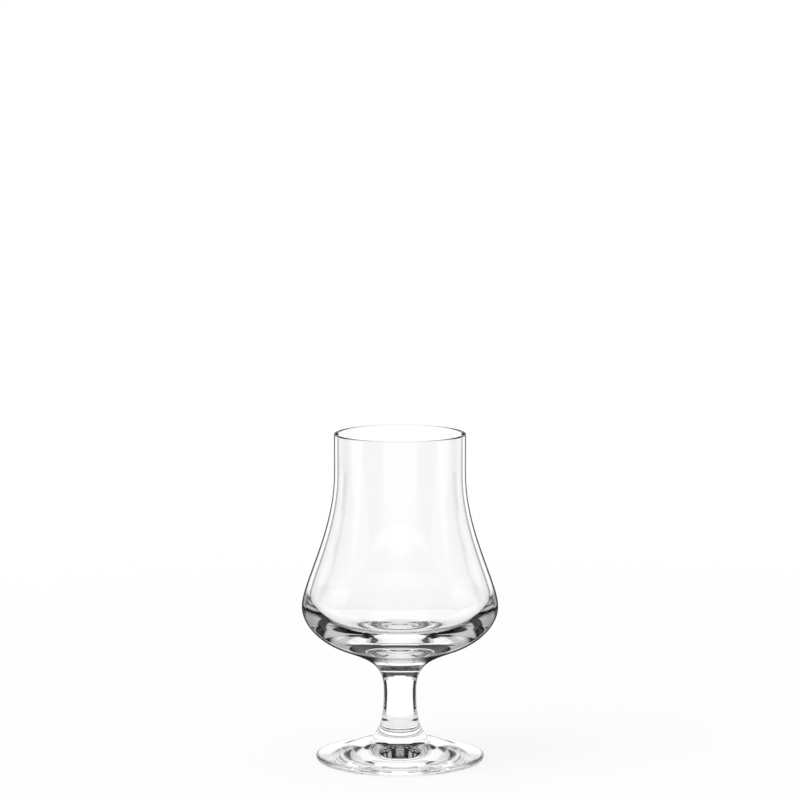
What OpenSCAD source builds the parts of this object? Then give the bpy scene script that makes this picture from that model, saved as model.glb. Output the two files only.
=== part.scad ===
// Whisky nosing glass in clear glass: a blown bowl with a heavy base, a short
// solid stem and a pressed foot, fused end to end at two flat joints.
// Millimetres, +Z up. The origin is the middle of the plane that the foot
// stands on, and the glass is round about the Z axis.

/* [Bowl] */
// Height of the bowl, from its joint with the stem to the rim
bowl_h = 83.6; // [76:0.1:92]
// Outer diameter of the mouth and of the straight neck
mouth_d = 46.8; // [42:0.1:52]
// Height of the straight neck, from the rim down
neck_h = 14.4; // [8:0.1:22]
// Outer diameter of the belly, the widest part of the bowl
belly_d = 70; // [64:0.1:78]
// Height of the belly's widest ring above the joint with the stem
belly_rise = 21.4; // [19:0.1:26]
// Diameter of the ring where the belly turns into the underside
underside_d = 44; // [38:0.1:50]
// Height of that ring above the joint with the stem
underside_rise = 6.7; // [5:0.1:9]
// Slope of the underside at that ring, in degrees from level
underside_slope = 21.6; // [14:0.1:30]
// Thickness of the neck's wall
wall_t = 1.2; // [0.9:0.05:2]
// Thickness of the belly's wall
belly_wall_t = 2.4; // [1.8:0.05:3]
// Thickness of the glass under the lowest point of the bowl's inside
base_t = 11.1; // [8.5:0.1:13]
// How far the widest ring of the inside lies above that of the outside
inside_lift = 2.8; // [1:0.1:5]

/* [Stem] */
// Length of the stem, from the foot's joint to the bowl's joint
stem_h = 24.3; // [20:0.1:36]
// Diameter of the stem at its waist, the narrowest ring
waist_d = 11.5; // [9:0.1:13.5]
// Height of the waist above the foot's joint
waist_rise = 15.4; // [11:0.1:18]
// Diameter of the joint between the stem and the bowl
bowl_joint_d = 17.8; // [15:0.1:21]
// Slope of the outside at that joint, in degrees from level
bowl_joint_slope = 45; // [35:0.5:60]
// Diameter of the joint between the stem and the foot
foot_joint_d = 17; // [15:0.1:21]
// Slope of the outside at that joint, in degrees from level
foot_joint_slope = 55; // [40:0.5:65]

/* [Foot] */
// Diameter of the foot
foot_d = 60; // [54:0.1:68]
// Height of the foot, up to its joint with the stem
foot_h = 9.6; // [8.6:0.1:12]
// Diameter of the ring where the fillet under the stem meets the foot's top
fillet_d = 25; // [23:0.1:30]
// Height of that ring above the table
fillet_h = 6.7; // [5.6:0.1:7.6]
// Slope of the foot's top at that ring, in degrees from level
foot_slope = 17.3; // [12:0.1:24]
// Thickness of the foot's rounded edge
edge_t = 2.2; // [1.6:0.05:3]
// Slope of the foot's top where it rolls over the edge, in degrees from level
edge_slope = 3.8; // [1:0.1:8]
// Width of the flat ring that the foot stands on, around a shallow hollow
rest_ring_w = 1; // [0.6:0.1:3]
// Height of that hollow at the middle
kick_h = 2.75; // [2:0.05:3.2]

/* [Hidden] */

// Heights of the two fused joints and of the rim
foot_joint_z = foot_h;
bowl_joint_z = foot_joint_z + stem_h;
rim_z = bowl_joint_z + bowl_h;

// Heights of the rings that the outline turns at
waist_z = foot_joint_z + waist_rise;
underside_z = bowl_joint_z + underside_rise;
belly_z = bowl_joint_z + belly_rise;
neck_z = rim_z - neck_h;

// The inside's lowest point and its widest ring
floor_z = bowl_joint_z + base_t;
inside_belly_r = belly_d / 2 - belly_wall_t;
inside_belly_z = belly_z + inside_lift;

// How far each stretch of the outline runs on along its first direction and
// along its last one before it bends, as shares of the straight distance
underside_shares = [0.275, 0.415];
belly_shares = [0.41, 0.3];
neck_shares = [0.17, 0.42];
inside_neck_shares = [0.44, 0.13];
inside_bowl_shares = [0.325, 0.447];
stem_foot_shares = [0.25, 0.44];
stem_top_shares = [0.435, 0.305];
kick_shares = [0.307, 0.339];
foot_top_shares = [0.5, 0.6];
fillet_shares = [0.365, 0.345];

// Directions in the outline's plane, in degrees from outwards to upwards
OUT = 0;
UP = 90;
IN = 180;
DOWN = 270;

// Number of straight pieces in each stretch of the outline
STRETCH_STEPS = 28;
ROUND_STEPS = 16;
$fn = 180;

GLASS = [0.9, 0.95, 0.96, 0.45];

function along(direction) = [cos(direction), sin(direction)];

// A point of the cubic curve with end points a and d and handles b and c
function on_cubic(a, b, c, d, t) =
    pow(1 - t, 3) * a + 3 * pow(1 - t, 2) * t * b + 3 * (1 - t) * t * t * c + pow(t, 3) * d;

// A smooth stretch of the outline from one point to another, which leaves the
// first in one direction and reaches the second in another
function stretch(from, leaving, to, arriving, shares) =
    let (span = norm(to - from))
    [for (i = [0 : STRETCH_STEPS])
        on_cubic(
            from,
            from + span * shares[0] * along(leaving),
            to - span * shares[1] * along(arriving),
            to,
            i / STRETCH_STEPS)];

// A round stretch about a centre, between two directions seen from it
function round_edge(centre, radius, first, last) =
    [for (i = [0 : ROUND_STEPS])
        centre + radius * along(first + (last - first) * i / ROUND_STEPS)];

// A solid turned from an outline of [radius, height] points
module turned(outline) {
    rotate_extrude() polygon(outline);
}

module bowl() {
    joint = [bowl_joint_d / 2, bowl_joint_z];
    underside = [underside_d / 2, underside_z];
    belly = [belly_d / 2, belly_z];
    neck = [mouth_d / 2, neck_z];
    lip_r = wall_t / 2;
    lip = [mouth_d / 2 - lip_r, rim_z - lip_r];
    inside_neck = [mouth_d / 2 - wall_t, neck_z];
    inside_belly = [inside_belly_r, inside_belly_z];
    inside_floor = [0, floor_z];

    color(GLASS)
    turned(concat(
        [[0, bowl_joint_z]],
        stretch(joint, bowl_joint_slope, underside, underside_slope, underside_shares),
        stretch(underside, underside_slope, belly, UP, belly_shares),
        stretch(belly, UP, neck, UP, neck_shares),
        round_edge(lip, lip_r, OUT, IN),
        stretch(inside_neck, DOWN, inside_belly, DOWN, inside_neck_shares),
        stretch(inside_belly, DOWN, inside_floor, IN, inside_bowl_shares)
    ));
}

module stem() {
    foot_joint = [foot_joint_d / 2, foot_joint_z];
    waist = [waist_d / 2, waist_z];
    bowl_joint = [bowl_joint_d / 2, bowl_joint_z];

    color(GLASS)
    turned(concat(
        [[0, foot_joint_z]],
        stretch(foot_joint, IN - foot_joint_slope, waist, UP, stem_foot_shares),
        stretch(waist, UP, bowl_joint, bowl_joint_slope, stem_top_shares),
        [[0, bowl_joint_z]]
    ));
}

module foot() {
    joint = [foot_joint_d / 2, foot_joint_z];
    fillet = [fillet_d / 2, fillet_h];
    edge_r = edge_t / 2;
    edge = [foot_d / 2 - edge_r, edge_r];
    edge_top = edge + edge_r * along(UP - edge_slope);
    kick_ring = [edge[0] - rest_ring_w, 0];
    kick_top = [0, kick_h];

    color(GLASS)
    turned(concat(
        stretch(kick_top, OUT, kick_ring, OUT, kick_shares),
        round_edge(edge, edge_r, -UP, UP - edge_slope),
        stretch(edge_top, IN - edge_slope, fillet, IN - foot_slope, foot_top_shares),
        stretch(fillet, IN - foot_slope, joint, IN - foot_joint_slope, fillet_shares),
        [[0, foot_joint_z]]
    ));
}

bowl();
stem();
foot();
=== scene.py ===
"""A whisky nosing glass in clear glass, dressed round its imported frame.

The bowl, the stem and the foot are turned again from the frame's sizes as fine
meshes with true normals, because clear glass shows every facet. They meet at the
two fused discs, where hot glass melted together and no seam is left.
"""

import math

import bpy
from bpy.props import FloatProperty, FloatVectorProperty, IntProperty, PointerProperty
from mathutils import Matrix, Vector


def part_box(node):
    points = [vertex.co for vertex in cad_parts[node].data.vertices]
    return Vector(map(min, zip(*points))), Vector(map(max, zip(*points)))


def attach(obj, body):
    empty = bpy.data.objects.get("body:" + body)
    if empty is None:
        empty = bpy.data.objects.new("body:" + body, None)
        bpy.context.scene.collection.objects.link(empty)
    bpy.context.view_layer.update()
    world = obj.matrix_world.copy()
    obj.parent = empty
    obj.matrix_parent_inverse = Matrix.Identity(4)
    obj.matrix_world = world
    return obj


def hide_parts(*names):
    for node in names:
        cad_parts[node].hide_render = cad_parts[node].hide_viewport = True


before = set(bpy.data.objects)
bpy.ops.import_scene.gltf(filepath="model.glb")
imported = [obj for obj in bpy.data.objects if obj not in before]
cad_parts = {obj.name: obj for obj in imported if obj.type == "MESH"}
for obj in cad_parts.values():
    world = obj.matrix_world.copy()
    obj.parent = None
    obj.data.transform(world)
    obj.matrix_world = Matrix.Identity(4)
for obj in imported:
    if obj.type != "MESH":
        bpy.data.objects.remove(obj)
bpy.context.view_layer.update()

bl_info = {
    "name": "Whisky nosing glass",
    "version": (1, 0, 0),
    "blender": (4, 5, 0),
    "location": "3D View > Sidebar > Nosing glass",
    "description": "Turns the bowl, stem and foot of a clear nosing glass and sets its studio",
    "category": "Object",
}

MM = 0.001
DEG = math.pi / 180

BOWL_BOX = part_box("bowl")
STEM_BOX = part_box("stem")
FOOT_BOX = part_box("foot")

# Directions in an outline's plane, in degrees from outwards to upwards
OUT, UP, IN, DOWN = 0, 90, 180, 270

# A length below this counts as none
TINY = 1e-7

# The camera's film is 36 mm wide, and it sees from 10 mm to 50 m
FILM_W = 36
NEAR_CLIP, FAR_CLIP = 0.01, 50

# Rings and columns of points in the table top, the paper tent and the cards. The
# innermost ring of a round sheet lies a little way out, so its points stay apart.
TABLE_RINGS, TABLE_COLUMNS, TABLE_INNERMOST = 32, 128, 0.001
TENT_RINGS, SET_COLUMNS = 90, 180
CARD_RINGS, CARD_INNERMOST = 60, 0.01

# Directions of the set's columns, from the camera's side right round: 0 is
# straight behind the glass
SET_TURNS = [2 * math.pi * k / SET_COLUMNS - math.pi for k in range(SET_COLUMNS)]

# How many times as wide as the others two changes of tone are: where the cards
# on the table begin, and where the camera's side begins
TABLE_FADES, FRONT_FADES = 2, 3


class BowlSizes(bpy.types.PropertyGroup):
    """Sizes of the blown bowl"""

    joint_z: FloatProperty(
        name="Joint height", description="Height of the joint with the stem",
        default=BOWL_BOX[0].z, unit="LENGTH")
    rim_z: FloatProperty(
        name="Rim height", description="Height of the rim",
        default=BOWL_BOX[1].z, unit="LENGTH")
    mouth_d: FloatProperty(
        name="Mouth", description="Outer diameter of the mouth and the neck",
        default=46.8 * MM, unit="LENGTH")
    neck_h: FloatProperty(
        name="Neck", description="Height of the straight neck, from the rim down",
        default=14.4 * MM, unit="LENGTH")
    belly_d: FloatProperty(
        name="Belly", description="Outer diameter of the belly",
        default=BOWL_BOX[1].x - BOWL_BOX[0].x, unit="LENGTH")
    belly_rise: FloatProperty(
        name="Belly rise", description="Height of the widest ring above the joint",
        default=21.4 * MM, unit="LENGTH")
    underside_d: FloatProperty(
        name="Underside", description="Diameter of the ring where the belly turns under",
        default=44 * MM, unit="LENGTH")
    underside_rise: FloatProperty(
        name="Underside rise", description="Height of that ring above the joint",
        default=6.7 * MM, unit="LENGTH")
    underside_slope: FloatProperty(
        name="Underside slope", description="Slope of the underside at that ring",
        default=21.6 * DEG, unit="ROTATION")
    wall_t: FloatProperty(
        name="Neck wall", description="Thickness of the neck's wall",
        default=1.2 * MM, unit="LENGTH")
    belly_wall_t: FloatProperty(
        name="Belly wall", description="Thickness of the belly's wall",
        default=2.4 * MM, unit="LENGTH")
    base_t: FloatProperty(
        name="Base", description="Thickness of the glass under the inside's lowest point",
        default=11.1 * MM, unit="LENGTH")
    inside_lift: FloatProperty(
        name="Inside lift", description="How far the inside's widest ring lies above the outside's",
        default=2.8 * MM, unit="LENGTH")


class StemSizes(bpy.types.PropertyGroup):
    """Sizes of the solid stem"""

    waist_d: FloatProperty(
        name="Waist", description="Diameter of the stem's narrowest ring",
        default=11.5 * MM, unit="LENGTH")
    waist_rise: FloatProperty(
        name="Waist rise", description="Height of the waist above the foot's joint",
        default=15.4 * MM, unit="LENGTH")
    bowl_joint_d: FloatProperty(
        name="Bowl joint", description="Diameter of the joint with the bowl",
        default=STEM_BOX[1].x - STEM_BOX[0].x, unit="LENGTH")
    bowl_joint_slope: FloatProperty(
        name="Bowl joint slope", description="Slope of the outside at that joint",
        default=45 * DEG, unit="ROTATION")
    foot_joint_d: FloatProperty(
        name="Foot joint", description="Diameter of the joint with the foot",
        default=17 * MM, unit="LENGTH")
    foot_joint_slope: FloatProperty(
        name="Foot joint slope", description="Slope of the outside at that joint",
        default=55 * DEG, unit="ROTATION")


class FootSizes(bpy.types.PropertyGroup):
    """Sizes of the pressed foot"""

    foot_d: FloatProperty(
        name="Foot", description="Diameter of the foot",
        default=FOOT_BOX[1].x - FOOT_BOX[0].x, unit="LENGTH")
    foot_h: FloatProperty(
        name="Foot height", description="Height of the joint with the stem",
        default=FOOT_BOX[1].z, unit="LENGTH")
    fillet_d: FloatProperty(
        name="Fillet", description="Diameter of the ring where the stem's fillet meets the foot",
        default=25 * MM, unit="LENGTH")
    fillet_h: FloatProperty(
        name="Fillet height", description="Height of that ring above the table",
        default=6.7 * MM, unit="LENGTH")
    foot_slope: FloatProperty(
        name="Foot slope", description="Slope of the foot's top at that ring",
        default=17.3 * DEG, unit="ROTATION")
    edge_t: FloatProperty(
        name="Edge", description="Thickness of the foot's rounded edge",
        default=2.2 * MM, unit="LENGTH")
    edge_slope: FloatProperty(
        name="Edge slope", description="Slope of the foot's top where it rolls over the edge",
        default=3.8 * DEG, unit="ROTATION")
    rest_ring_w: FloatProperty(
        name="Resting ring", description="Width of the flat ring that the foot stands on",
        default=1 * MM, unit="LENGTH")
    kick_h: FloatProperty(
        name="Kick", description="Height of the hollow under the foot, at the middle",
        default=2.75 * MM, unit="LENGTH")


class GlassFinish(bpy.types.PropertyGroup):
    """Finish of the clear glass, and the painted shade line along its outline"""

    tint: FloatVectorProperty(
        name="Tint", description="Colour that the glass passes",
        default=(1.0, 1.0, 1.0), size=3, min=0, max=1, subtype="COLOR")
    ior: FloatProperty(
        name="IOR", description="Index of refraction of the glass", default=1.52, min=1, max=2)
    # The edge line is painted shade: a dark colour mixed into the glass where its surface turns
    # away from view, drawn along the outline of the bowl and stem
    painted_edge_shade: FloatVectorProperty(
        name="Edge", description="Colour of the thin line along the glass's outer edge",
        default=(0.03, 0.03, 0.03), size=3, min=0, max=1, subtype="COLOR")
    painted_shade_from: FloatProperty(
        name="Edge from", description="How far the glass turns away where that line begins",
        default=0.77, min=0, max=1, subtype="FACTOR")
    painted_shade_full: FloatProperty(
        name="Edge full", description="How far the glass turns away where that line is full",
        default=0.88, min=0, max=1, subtype="FACTOR")
    # The foot's edge line is painted shade too, drawn where the foot's surface turns further away
    # from view
    foot_painted_shade_from: FloatProperty(
        name="Foot edge from", description="How far the foot turns away where its line begins",
        default=0.9, min=0, max=1, subtype="FACTOR")
    foot_painted_shade_full: FloatProperty(
        name="Foot edge full", description="How far the foot turns away where its line is full",
        default=0.97, min=0, max=1, subtype="FACTOR")
    around: IntProperty(
        name="Steps round", description="Number of flat pieces round each ring",
        default=224, min=48, max=512)
    steps: IntProperty(
        name="Steps along", description="Number of pieces in each stretch of an outline",
        default=40, min=12, max=128)


class StudioSettings(bpy.types.PropertyGroup):
    """Camera, table top, lamp, and the papers and cards that the glass sees"""

    bounces: IntProperty(
        name="Bounces", description="How often light may turn inside the thick clear base",
        default=32, min=4, max=64)
    camera_reach: FloatProperty(
        name="Camera reach", description="Level distance from the glass to the camera",
        default=1.26484, unit="LENGTH")
    camera_height: FloatProperty(
        name="Camera height", description="Height of the camera above the table",
        default=0.28732, unit="LENGTH")
    camera_pitch: FloatProperty(
        name="Camera pitch", description="How far the camera looks down",
        default=7.1204 * DEG, unit="ROTATION")
    lens: FloatProperty(
        name="Lens", description="Focal length on a 36 mm film", default=162, unit="CAMERA")
    floor_r: FloatProperty(
        name="Floor", description="Radius of the round pale table top",
        default=0.6, unit="LENGTH")
    floor_gap: FloatProperty(
        name="Floor gap", description="Air between the foot's resting ring and the table top",
        default=0.05 * MM, unit="LENGTH")
    floor_color: FloatVectorProperty(
        name="Floor colour", description="Colour of the table top",
        default=(0.93, 0.93, 0.93), size=3, min=0, max=1, subtype="COLOR")
    floor_paper: FloatProperty(
        name="Floor paper", description="Share of plain white paper in the table top's middle",
        default=0.85, subtype="FACTOR")
    floor_roughness: FloatProperty(
        name="Floor roughness", description="Roughness of the table top",
        default=0.9, min=0, max=1, subtype="FACTOR")
    paper_from: FloatProperty(
        name="Paper from", description="Share of the radius where the table fades to paper",
        default=0.3, min=0, max=1, subtype="FACTOR")
    paper_full: FloatProperty(
        name="Paper full", description="Share of the radius from which it is all white paper",
        default=0.9, min=0, max=1, subtype="FACTOR")
    room_light: FloatProperty(
        name="Room light", description="Strength of the even light from the room", default=0.75)
    lamp_size: FloatProperty(
        name="Lamp size", description="Diameter of the soft lamp", default=1.2, unit="LENGTH")
    lamp_power: FloatProperty(
        name="Lamp power", description="Power of the soft lamp", default=12, unit="POWER")
    lamp_place: FloatVectorProperty(
        name="Lamp place", description="Place of the soft lamp, above and to the left",
        default=(-0.9, -0.5, 1.6), size=3, subtype="XYZ", unit="LENGTH")
    tent_r: FloatProperty(
        name="Tent", description="Radius of the paper tent round the set",
        default=8.0, unit="LENGTH")
    # Painted shadow: the table that the glass sees has an even grey spot under the foot, darker
    # than the white paper behind
    painted_shadow_r: FloatProperty(
        name="Under", description="Radius of the pale spot of table under the foot",
        default=0.028, unit="LENGTH")
    near_r: FloatProperty(
        name="Near", description="Distance from the glass at which the cards on the table begin",
        default=0.04, unit="LENGTH")
    card_r: FloatProperty(
        name="Card distance", description="Distance from the glass to the low standing cards",
        default=0.1, unit="LENGTH")
    card_h: FloatProperty(
        name="Card height", description="Height of the low standing cards",
        default=0.045, unit="LENGTH")
    table_to: FloatProperty(
        name="Table to", description="Half angle of the white table between the lying cards",
        default=38 * DEG, unit="ROTATION")
    white_to: FloatProperty(
        name="White to", description="Half angle of the white paper behind the glass",
        default=32 * DEG, unit="ROTATION")
    wing_to: FloatProperty(
        name="Wing to", description="Angle where the grey wings beside that paper end",
        default=60 * DEG, unit="ROTATION")
    black_to: FloatProperty(
        name="Black to", description="Angle where the black cards beside the wings end",
        default=74 * DEG, unit="ROTATION")
    side_to: FloatProperty(
        name="Side to", description="Angle where the pale side panels end",
        default=108 * DEG, unit="ROTATION")
    front_from: FloatProperty(
        name="Front from", description="Angle where the dark room gives way to the camera's side",
        default=145 * DEG, unit="ROTATION")
    side_top: FloatProperty(
        name="Side top", description="Height of the side panels, as an angle",
        default=20 * DEG, unit="ROTATION")
    roof_from: FloatProperty(
        name="Roof from", description="Angle above level where the dark roof begins",
        default=22 * DEG, unit="ROTATION")
    strip_to: FloatProperty(
        name="Strip to", description="Half angle of the white strip that runs up over the roof",
        default=12 * DEG, unit="ROTATION")
    strip_top: FloatProperty(
        name="Strip top", description="Angle above level where that strip ends",
        default=36 * DEG, unit="ROTATION")
    fade: FloatProperty(
        name="Fade", description="Width of the soft change from one tone to the next",
        default=2 * DEG, unit="ROTATION")
    paper_tone: FloatProperty(
        name="Paper tone", description="Brightness of the paper behind the glass", default=1.1)
    wing_tone: FloatProperty(
        name="Wing tone", description="Brightness of the wings", default=0.6)
    black_tone: FloatProperty(
        name="Black tone", description="Brightness of the black cards", default=0.02)
    side_tone: FloatProperty(
        name="Side tone", description="Brightness of the side panels", default=0.5)
    above_tone: FloatProperty(
        name="Above tone", description="Brightness above the side panels", default=0.1)
    room_tone: FloatProperty(
        name="Room tone", description="Brightness of the dark room in front of the side panels",
        default=0.02)
    front_tone: FloatProperty(
        name="Front tone", description="Brightness of the room behind the camera", default=0.35)
    roof_tone: FloatProperty(
        name="Roof tone", description="Brightness of the roof", default=0.02)
    # Painted shadow: the tone of that spot under the foot
    painted_shadow_tone: FloatProperty(
        name="Under tone", description="Brightness of the table under the foot", default=0.9)


# How far each stretch of an outline runs on along its first direction and along
# its last one before it bends, as shares of the straight distance
UNDERSIDE_SHARES = (0.275, 0.415)
BELLY_SHARES = (0.41, 0.3)
NECK_SHARES = (0.17, 0.42)
INSIDE_NECK_SHARES = (0.44, 0.13)
INSIDE_BOWL_SHARES = (0.325, 0.447)
STEM_FOOT_SHARES = (0.25, 0.44)
STEM_TOP_SHARES = (0.435, 0.305)
KICK_SHARES = (0.307, 0.339)
FOOT_TOP_SHARES = (0.5, 0.6)
FILLET_SHARES = (0.365, 0.345)


def along(degrees):
    """Unit direction in an outline's plane"""
    return Vector((math.cos(degrees * DEG), math.sin(degrees * DEG)))


def outward(direction):
    """Outline normal that has the glass on its left, for a direction of travel"""
    return Vector((direction.y, -direction.x)).normalized()


def stretch(start, leaving, end, arriving, shares, steps):
    """Points of a smooth curve and the outline's normals there"""
    start, end = Vector(start), Vector(end)
    span = (end - start).length
    first = start + span * shares[0] * along(leaving)
    last = end - span * shares[1] * along(arriving)
    made = []
    for i in range(steps + 1):
        t = i / steps
        s = 1 - t
        point = s**3 * start + 3 * s * s * t * first + 3 * s * t * t * last + t**3 * end
        heading = s * s * (first - start) + 2 * s * t * (last - first) + t * t * (end - last)
        made.append((point, outward(heading)))
    return made


def round_edge(centre, radius, first, last, steps):
    """Points of a round edge about a centre, and the outline's normals there"""
    made = []
    for i in range(steps + 1):
        way = along(first + (last - first) * i / steps)
        made.append((Vector(centre) + radius * way, way))
    return made


def joined(*stretches):
    """One outline from several stretches, each shared point kept once"""
    outline = []
    for part in stretches:
        shared = outline and (outline[-1][0] - part[0][0]).length < TINY
        outline += part[1:] if shared else part
    return outline


def bowl_outline(bowl, stem, steps):
    """The bowl from its joint up the outside, over the rim and down inside"""
    joint = (stem.bowl_joint_d / 2, bowl.joint_z)
    underside = (bowl.underside_d / 2, bowl.joint_z + bowl.underside_rise)
    belly = (bowl.belly_d / 2, bowl.joint_z + bowl.belly_rise)
    neck = (bowl.mouth_d / 2, bowl.rim_z - bowl.neck_h)
    lip_r = bowl.wall_t / 2
    lip = (bowl.mouth_d / 2 - lip_r, bowl.rim_z - lip_r)
    inside_neck = (bowl.mouth_d / 2 - bowl.wall_t, neck[1])
    inside_belly = (bowl.belly_d / 2 - bowl.belly_wall_t, belly[1] + bowl.inside_lift)
    inside_floor = (0, bowl.joint_z + bowl.base_t)
    joint_slope = stem.bowl_joint_slope / DEG
    slope = bowl.underside_slope / DEG
    return joined(
        stretch(joint, joint_slope, underside, slope, UNDERSIDE_SHARES, steps),
        stretch(underside, slope, belly, UP, BELLY_SHARES, steps),
        stretch(belly, UP, neck, UP, NECK_SHARES, steps),
        round_edge(lip, lip_r, OUT, IN, steps // 2),
        stretch(inside_neck, DOWN, inside_belly, DOWN, INSIDE_NECK_SHARES, steps),
        stretch(inside_belly, DOWN, inside_floor, IN, INSIDE_BOWL_SHARES, steps),
    )


def stem_outline(bowl, stem, foot, steps):
    """The stem from its joint with the foot up to its joint with the bowl"""
    foot_joint = (stem.foot_joint_d / 2, foot.foot_h)
    waist = (stem.waist_d / 2, foot.foot_h + stem.waist_rise)
    bowl_joint = (stem.bowl_joint_d / 2, bowl.joint_z)
    foot_slope = IN - stem.foot_joint_slope / DEG
    return joined(
        stretch(foot_joint, foot_slope, waist, UP, STEM_FOOT_SHARES, steps),
        stretch(waist, UP, bowl_joint, stem.bowl_joint_slope / DEG, STEM_TOP_SHARES, steps),
    )


def foot_outline(stem, foot, steps):
    """The foot from the middle of its hollow round the edge up to its joint"""
    joint = (stem.foot_joint_d / 2, foot.foot_h)
    fillet = (foot.fillet_d / 2, foot.fillet_h)
    edge_r = foot.edge_t / 2
    edge = Vector((foot.foot_d / 2 - edge_r, edge_r))
    edge_slope = foot.edge_slope / DEG
    edge_top = edge + edge_r * along(UP - edge_slope)
    kick_ring = (edge.x - foot.rest_ring_w, 0)
    top_slope = IN - foot.foot_slope / DEG
    joint_slope = IN - stem.foot_joint_slope / DEG
    return joined(
        stretch((0, foot.kick_h), OUT, kick_ring, OUT, KICK_SHARES, steps),
        round_edge(edge, edge_r, -UP, UP - edge_slope, steps // 2),
        stretch(edge_top, IN - edge_slope, fillet, top_slope, FOOT_TOP_SHARES, steps),
        stretch(fillet, top_slope, joint, joint_slope, FILLET_SHARES, steps),
    )


def turned(name, outline, around):
    """A closed solid turned about Z from an outline with normals.

    An end of the outline that isn't on the axis is closed by a flat fused disc,
    which takes the second material slot.
    """
    verts, normals, faces, face_normals = [], [], [], []
    turns = [(math.cos(2 * math.pi * k / around), math.sin(2 * math.pi * k / around))
             for k in range(around)]

    def ring(point, normal):
        if point.x < TINY:
            verts.append((0, 0, point.y))
            normals.append((0, 0, math.copysign(1, normal.y)))
            return [len(verts) - 1] * around
        first = len(verts)
        for c, s in turns:
            verts.append((point.x * c, point.x * s, point.y))
            normals.append((normal.x * c, normal.x * s, normal.y))
        return list(range(first, first + around))

    rings = [ring(point, normal) for point, normal in outline]
    for low, high in zip(rings, rings[1:]):
        for k in range(around):
            corners = (low[k - 1], low[k], high[k], high[k - 1])
            faces.append(list(dict.fromkeys(corners)))
            face_normals.append(None)
    for end, facing in ((0, -1), (-1, 1)):
        point, edge = outline[end][0], rings[end]
        if point.x < TINY:
            continue
        verts.append((0, 0, point.y))
        normals.append((0, 0, facing))
        for k in range(around):
            corners = [edge[k - 1], edge[k], len(verts) - 1]
            faces.append(corners[::facing])
            face_normals.append((0, 0, facing))

    mesh = bpy.data.meshes.new(name)
    mesh.from_pydata(verts, [], faces)
    if mesh.validate():
        raise RuntimeError(f"the mesh of {name} had faults")
    mesh.polygons.foreach_set("use_smooth", [True] * len(faces))
    mesh.polygons.foreach_set("material_index", [int(flat is not None) for flat in face_normals])
    mesh.normals_split_custom_set([
        flat or normals[vertex]
        for polygon, flat in zip(mesh.polygons, face_normals) for vertex in polygon.vertices])
    piece = bpy.data.objects.new(name, mesh)
    bpy.context.scene.collection.objects.link(piece)
    return piece


def clear_glass(name, finish, painted_shade_from, painted_shade_full):
    """Clear fire-polished glass, with painted shade: a thin dark line along its outer edge"""
    material = bpy.data.materials.get(name)
    if material:
        return material
    material = bpy.data.materials.new(name)
    material.use_nodes = True
    nodes, links = material.node_tree.nodes, material.node_tree.links
    shader = nodes["Principled BSDF"]
    shader.inputs["Base Color"].default_value = (*finish.tint, 1)
    shader.inputs["Roughness"].default_value = 0
    shader.inputs["IOR"].default_value = finish.ior
    shader.inputs["Transmission Weight"].default_value = 1
    # Painted shade: a dark diffuse is mixed in as the surface turns away from view, so a dark line
    # runs along the glass's outline
    aslant = nodes.new("ShaderNodeLayerWeight")
    line = nodes.new("ShaderNodeMapRange")
    line.interpolation_type = "SMOOTHSTEP"
    line.inputs["From Min"].default_value = painted_shade_from
    line.inputs["From Max"].default_value = painted_shade_full
    edge = nodes.new("ShaderNodeBsdfDiffuse")
    edge.inputs["Color"].default_value = (*finish.painted_edge_shade, 1)
    mix = nodes.new("ShaderNodeMixShader")
    links.new(aslant.outputs["Facing"], line.inputs["Value"])
    links.new(line.outputs["Result"], mix.inputs["Fac"])
    links.new(shader.outputs["BSDF"], mix.inputs[1])
    links.new(edge.outputs["BSDF"], mix.inputs[2])
    links.new(mix.outputs["Shader"], nodes["Material Output"].inputs["Surface"])
    return material


def fused_joint():
    """The disc inside the glass where two pieces melted together: it can't be seen"""
    material = bpy.data.materials.get("fused_joint")
    if material:
        return material
    material = bpy.data.materials.new("fused_joint")
    material.use_nodes = True
    nodes, links = material.node_tree.nodes, material.node_tree.links
    nodes.clear()
    output = nodes.new("ShaderNodeOutputMaterial")
    through = nodes.new("ShaderNodeBsdfTransparent")
    links.new(through.outputs["BSDF"], output.inputs["Surface"])
    return material


def make_piece(name, outline, node, glass):
    """Turns a piece, gives it its glass and ties it to its place in the frame"""
    piece = turned(name, outline, bpy.context.scene.glass_finish.around)
    piece.data.materials.append(glass)
    piece.data.materials.append(fused_joint())
    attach(piece, "root")
    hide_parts(node)


class NOSINGGLASS_OT_bowl(bpy.types.Operator):
    """Turn the bowl: straight neck, wide belly and heavy base"""

    bl_idname = "nosing_glass.bowl"
    bl_label = "Bowl"

    def execute(self, context):
        scene, finish = context.scene, context.scene.glass_finish
        outline = bowl_outline(scene.glass_bowl, scene.glass_stem, finish.steps)
        glass = clear_glass("clear_glass", finish, finish.painted_shade_from, finish.painted_shade_full)
        make_piece("tulip_bowl", outline, "bowl", glass)
        return {"FINISHED"}


class NOSINGGLASS_OT_stem(bpy.types.Operator):
    """Turn the solid waisted stem"""

    bl_idname = "nosing_glass.stem"
    bl_label = "Stem"

    def execute(self, context):
        scene, finish = context.scene, context.scene.glass_finish
        outline = stem_outline(
            scene.glass_bowl, scene.glass_stem, scene.glass_foot, finish.steps)
        glass = clear_glass("clear_glass", finish, finish.painted_shade_from, finish.painted_shade_full)
        make_piece("waisted_stem", outline, "stem", glass)
        return {"FINISHED"}


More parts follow.
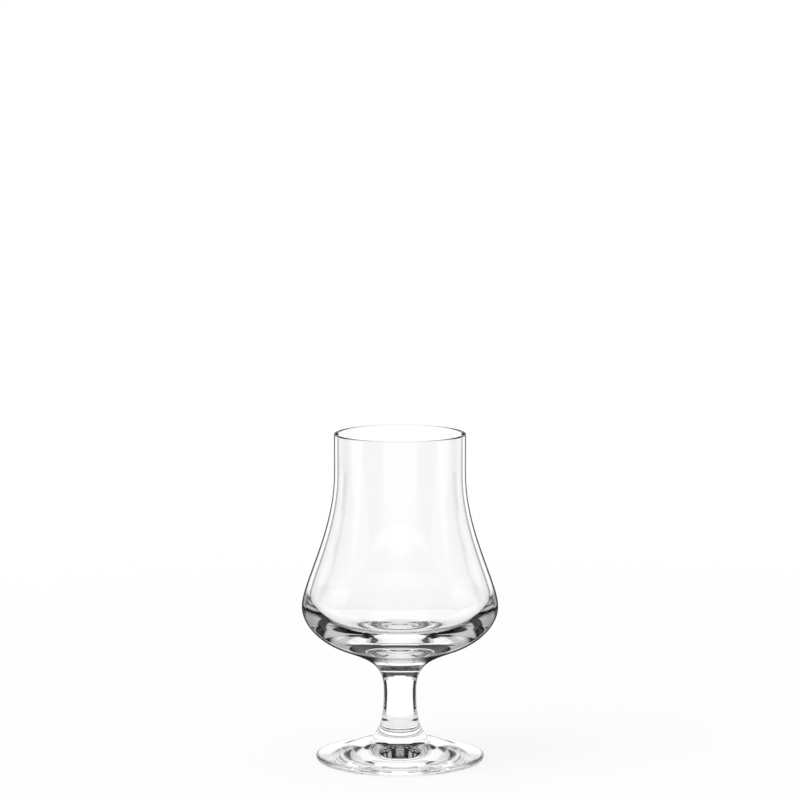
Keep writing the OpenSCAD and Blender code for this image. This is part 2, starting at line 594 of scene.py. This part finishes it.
class NOSINGGLASS_OT_foot(bpy.types.Operator):
    """Turn the round foot with its fillet, rounded edge and hollow underneath"""

    bl_idname = "nosing_glass.foot"
    bl_label = "Foot"

    def execute(self, context):
        scene, finish = context.scene, context.scene.glass_finish
        outline = foot_outline(scene.glass_stem, scene.glass_foot, finish.steps)
        glass = clear_glass(
            "pressed_glass", finish, finish.foot_painted_shade_from, finish.foot_painted_shade_full)
        make_piece("round_foot", outline, "foot", glass)
        return {"FINISHED"}


def seen_through_glass(nodes, links):
    """1 for a ray from the camera, or from gloss or glass, and 0 for the rest"""
    path = nodes.new("ShaderNodeLightPath")
    total = path.outputs["Is Camera Ray"]
    for kind in ("Is Glossy Ray", "Is Transmission Ray"):
        either = nodes.new("ShaderNodeMath")
        either.operation = "MAXIMUM"
        links.new(total, either.inputs[0])
        links.new(path.outputs[kind], either.inputs[1])
        total = either.outputs[0]
    return total


def make_world(scene, studio):
    """Even room light, which the camera and the glass see as white paper"""
    world = bpy.data.worlds.new("studio")
    world.use_nodes = True
    nodes, links = world.node_tree.nodes, world.node_tree.links
    nodes.clear()
    output = nodes.new("ShaderNodeOutputWorld")
    mix = nodes.new("ShaderNodeMixShader")
    room = nodes.new("ShaderNodeBackground")
    room.inputs["Color"].default_value = (1, 1, 1, 1)
    room.inputs["Strength"].default_value = studio.room_light
    paper = nodes.new("ShaderNodeBackground")
    paper.inputs["Color"].default_value = (1, 1, 1, 1)
    paper.inputs["Strength"].default_value = 1
    links.new(seen_through_glass(nodes, links), mix.inputs["Fac"])
    links.new(room.outputs["Background"], mix.inputs[1])
    links.new(paper.outputs["Background"], mix.inputs[2])
    links.new(mix.outputs["Shader"], output.inputs["Surface"])
    scene.world = world


def blend(low, high, share):
    """A value between two, at a share of the way"""
    return low + (high - low) * share


def smooth_step(value, low, high):
    """0 below low, 1 above high, and a smooth rise between"""
    t = min(max((value - low) / (high - low), 0), 1)
    return t * t * (3 - 2 * t)


def past(value, start, width):
    """0 up to a start and 1 from one width beyond it"""
    return smooth_step(value, start, start + width)


def make_sheet(name, rows, tones):
    """A stage surface through closed rings of points, with a tone at each point"""
    columns = len(rows[0])
    faces = []
    for i in range(len(rows) - 1):
        for k in range(columns):
            low, high, after = i * columns, (i + 1) * columns, (k + 1) % columns
            faces.append((low + k, low + after, high + after, high + k))
    mesh = bpy.data.meshes.new(name)
    mesh.from_pydata([point for row in rows for point in row], [], faces)
    tone = mesh.attributes.new("tone", "FLOAT", "POINT")
    tone.data.foreach_set("value", [value for row in tones for value in row])
    sheet = bpy.data.objects.new(name, mesh)
    bpy.context.scene.collection.objects.link(sheet)
    material = bpy.data.materials.new(name)
    material.use_nodes = True
    mesh.materials.append(material)
    shade = material.node_tree.nodes.new("ShaderNodeAttribute")
    shade.attribute_name = "tone"
    return sheet, material.node_tree, shade.outputs["Fac"]


def make_floor(studio):
    """The pale table top, which keeps the glass's soft shadow and fades to paper"""
    turns = [2 * math.pi * k / TABLE_COLUMNS for k in range(TABLE_COLUMNS)]
    rows, shares = [], []
    for i in range(TABLE_RINGS + 1):
        part = max(i / TABLE_RINGS, TABLE_INNERMOST)
        r = part * studio.floor_r
        rows.append([
            (r * math.cos(turn), r * math.sin(turn), -studio.floor_gap) for turn in turns])
        share = blend(studio.floor_paper, 1, smooth_step(
            part, studio.paper_from, studio.paper_full))
        shares.append([share] * TABLE_COLUMNS)
    _, tree, tone = make_sheet("table_top", rows, shares)
    nodes, links = tree.nodes, tree.links
    shader = nodes["Principled BSDF"]
    shader.inputs["Base Color"].default_value = (*studio.floor_color, 1)
    shader.inputs["Roughness"].default_value = studio.floor_roughness
    shader.inputs["Specular IOR Level"].default_value = 0
    paper = nodes.new("ShaderNodeEmission")
    paper.inputs["Strength"].default_value = 1
    seen_share = nodes.new("ShaderNodeMath")
    seen_share.operation = "MULTIPLY"
    mix = nodes.new("ShaderNodeMixShader")
    links.new(seen_through_glass(nodes, links), seen_share.inputs[0])
    links.new(tone, seen_share.inputs[1])
    links.new(seen_share.outputs[0], mix.inputs["Fac"])
    links.new(shader.outputs["BSDF"], mix.inputs[1])
    links.new(paper.outputs["Emission"], mix.inputs[2])
    links.new(mix.outputs["Shader"], nodes["Material Output"].inputs["Surface"])


def tent_tone(studio, turn, rise):
    """Brightness of the paper tent in a direction from the glass.

    The turn is 0 straight behind the glass and pi at the camera; the rise is the
    angle above level.
    """
    turn, fade = abs(turn), studio.fade
    side = blend(studio.side_tone, studio.above_tone, past(rise, studio.side_top, fade))
    tone = studio.paper_tone
    for start, next_tone, width in (
            (studio.white_to, studio.wing_tone, fade),
            (studio.wing_to, studio.black_tone, fade),
            (studio.black_to, side, fade),
            (studio.side_to, studio.room_tone, fade),
            (studio.front_from, studio.front_tone, FRONT_FADES * fade)):
        tone = blend(tone, next_tone, past(turn, start, width))
    strip = (1 - past(turn, studio.strip_to, fade)) * (1 - past(rise, studio.strip_top, fade))
    roof = blend(studio.roof_tone, studio.paper_tone, strip)
    return blend(tone, roof, past(rise, studio.roof_from, fade))


def low_tone(studio, turn):
    """Brightness of what lies or stands low round the glass: papers and black cards"""
    turn, fade = abs(turn), studio.fade
    tone = blend(
        studio.paper_tone, studio.black_tone, past(turn, studio.table_to, TABLE_FADES * fade))
    return blend(tone, tent_tone(studio, turn, 0), past(turn, studio.black_to, fade))


def make_paper(name, rows, tones, turntable):
    """Paper that only gloss and glass see, carried round by the turntable"""
    paper, tree, tone = make_sheet(name, rows, tones)
    paper.visible_camera = False
    paper.visible_diffuse = False
    paper.visible_shadow = False
    nodes, links = tree.nodes, tree.links
    nodes.remove(nodes["Principled BSDF"])
    glow = nodes.new("ShaderNodeEmission")
    links.new(tone, glow.inputs["Strength"])
    links.new(glow.outputs["Emission"], nodes["Material Output"].inputs["Surface"])
    paper.parent = turntable


def set_ring(r, z):
    """A level ring of the set's points round the glass"""
    return [(r * math.sin(turn), r * math.cos(turn), z) for turn in SET_TURNS]


def make_tent(studio, turntable):
    """The tent all round the set: white behind, black beside, pale panels, dark roof"""
    rises = [math.pi * (i / TENT_RINGS - 0.5) for i in range(TENT_RINGS + 1)]
    rows = [
        set_ring(studio.tent_r * math.cos(rise), studio.tent_r * math.sin(rise))
        for rise in rises]
    tones = [[tent_tone(studio, turn, rise) for turn in SET_TURNS] for rise in rises]
    make_paper("paper_tent", rows, tones, turntable)


def make_cards(studio, turntable):
    """The table as the glass sees it, with a painted shadow under the foot, cards that lie on it
    and low ones that stand
    """
    low = [low_tone(studio, turn) for turn in SET_TURNS]
    rows, tones = [], []
    for i in range(CARD_RINGS + 1):
        # The rings crowd together towards the glass, where the tones change
        r = max(i / CARD_RINGS, CARD_INNERMOST) ** 2 * studio.floor_r
        rows.append(set_ring(r, -studio.floor_gap / 2))
        # Painted shadow: near the glass the table fades to the even tone of the spot under the foot
        away = smooth_step(r, studio.painted_shadow_r, studio.near_r)
        tones.append([blend(studio.painted_shadow_tone, tone, away) for tone in low])
    make_paper("lying_cards", rows, tones, turntable)
    rows = [set_ring(studio.card_r, z) for z in (0, studio.card_h)]
    make_paper("standing_cards", rows, [low, low], turntable)


def make_turntable(scene):
    """The set's turntable, which keeps the white paper straight behind the glass"""
    turntable = bpy.data.objects.new("turntable", None)
    scene.collection.objects.link(turntable)
    track = turntable.constraints.new("LOCKED_TRACK")
    track.target = scene.camera
    track.track_axis = "TRACK_NEGATIVE_Y"
    track.lock_axis = "LOCK_Z"
    return turntable


def make_camera(scene, studio):
    """The camera at the photograph's viewing angle"""
    data = bpy.data.cameras.new("camera")
    data.sensor_width = FILM_W
    data.lens = studio.lens
    data.clip_start = NEAR_CLIP
    data.clip_end = FAR_CLIP
    camera = bpy.data.objects.new("camera", data)
    scene.collection.objects.link(camera)
    camera.location = (0, -studio.camera_reach, studio.camera_height)
    camera.rotation_euler = (math.pi / 2 - studio.camera_pitch, 0, 0)
    scene.camera = camera


def make_lamp(scene, studio):
    """One large soft lamp above and to the left"""
    data = bpy.data.lights.new("soft_lamp", "AREA")
    data.shape = "DISK"
    data.size = studio.lamp_size
    data.energy = studio.lamp_power
    lamp = bpy.data.objects.new("soft_lamp", data)
    scene.collection.objects.link(lamp)
    lamp.location = studio.lamp_place
    lamp.rotation_euler = Vector(lamp.location).to_track_quat("Z", "Y").to_euler()
    lamp.visible_glossy = False
    lamp.visible_transmission = False


class NOSINGGLASS_OT_stage(bpy.types.Operator):
    """Set the table top, the paper tent, the light and the camera"""

    bl_idname = "nosing_glass.stage"
    bl_label = "Stage"

    def execute(self, context):
        scene = context.scene
        studio = scene.glass_studio
        scene.view_settings.view_transform = "Standard"
        scene.cycles.max_bounces = studio.bounces
        scene.cycles.glossy_bounces = studio.bounces
        scene.cycles.transmission_bounces = studio.bounces
        make_world(scene, studio)
        make_floor(studio)
        make_lamp(scene, studio)
        make_camera(scene, studio)
        turntable = make_turntable(scene)
        make_tent(studio, turntable)
        make_cards(studio, turntable)
        return {"FINISHED"}


class NOSINGGLASS_PT_panel(bpy.types.Panel):
    """Sizes, finish and studio of the nosing glass"""

    bl_idname = "NOSINGGLASS_PT_panel"
    bl_label = "Nosing glass"
    bl_space_type = "VIEW_3D"
    bl_region_type = "UI"
    bl_category = "Nosing glass"

    def draw(self, context):
        for attribute, _ in SETTINGS:
            box = self.layout.box()
            group = getattr(context.scene, attribute)
            for name in group.__annotations__:
                box.prop(group, name)
        for operator in PIECES:
            self.layout.operator(operator.bl_idname)


SETTINGS = (
    ("glass_bowl", BowlSizes),
    ("glass_stem", StemSizes),
    ("glass_foot", FootSizes),
    ("glass_finish", GlassFinish),
    ("glass_studio", StudioSettings),
)
PIECES = (NOSINGGLASS_OT_bowl, NOSINGGLASS_OT_stem, NOSINGGLASS_OT_foot, NOSINGGLASS_OT_stage)


def register():
    for attribute, group in SETTINGS:
        bpy.utils.register_class(group)
        setattr(bpy.types.Scene, attribute, PointerProperty(type=group))
    for operator in PIECES:
        bpy.utils.register_class(operator)
    bpy.utils.register_class(NOSINGGLASS_PT_panel)


def unregister():
    bpy.utils.unregister_class(NOSINGGLASS_PT_panel)
    for operator in reversed(PIECES):
        bpy.utils.unregister_class(operator)
    for attribute, group in reversed(SETTINGS):
        delattr(bpy.types.Scene, attribute)
        bpy.utils.unregister_class(group)


def main():
    register()
    bpy.ops.nosing_glass.bowl()
    bpy.ops.nosing_glass.stem()
    bpy.ops.nosing_glass.foot()
    bpy.ops.nosing_glass.stage()


if __name__ == "__main__":
    main()
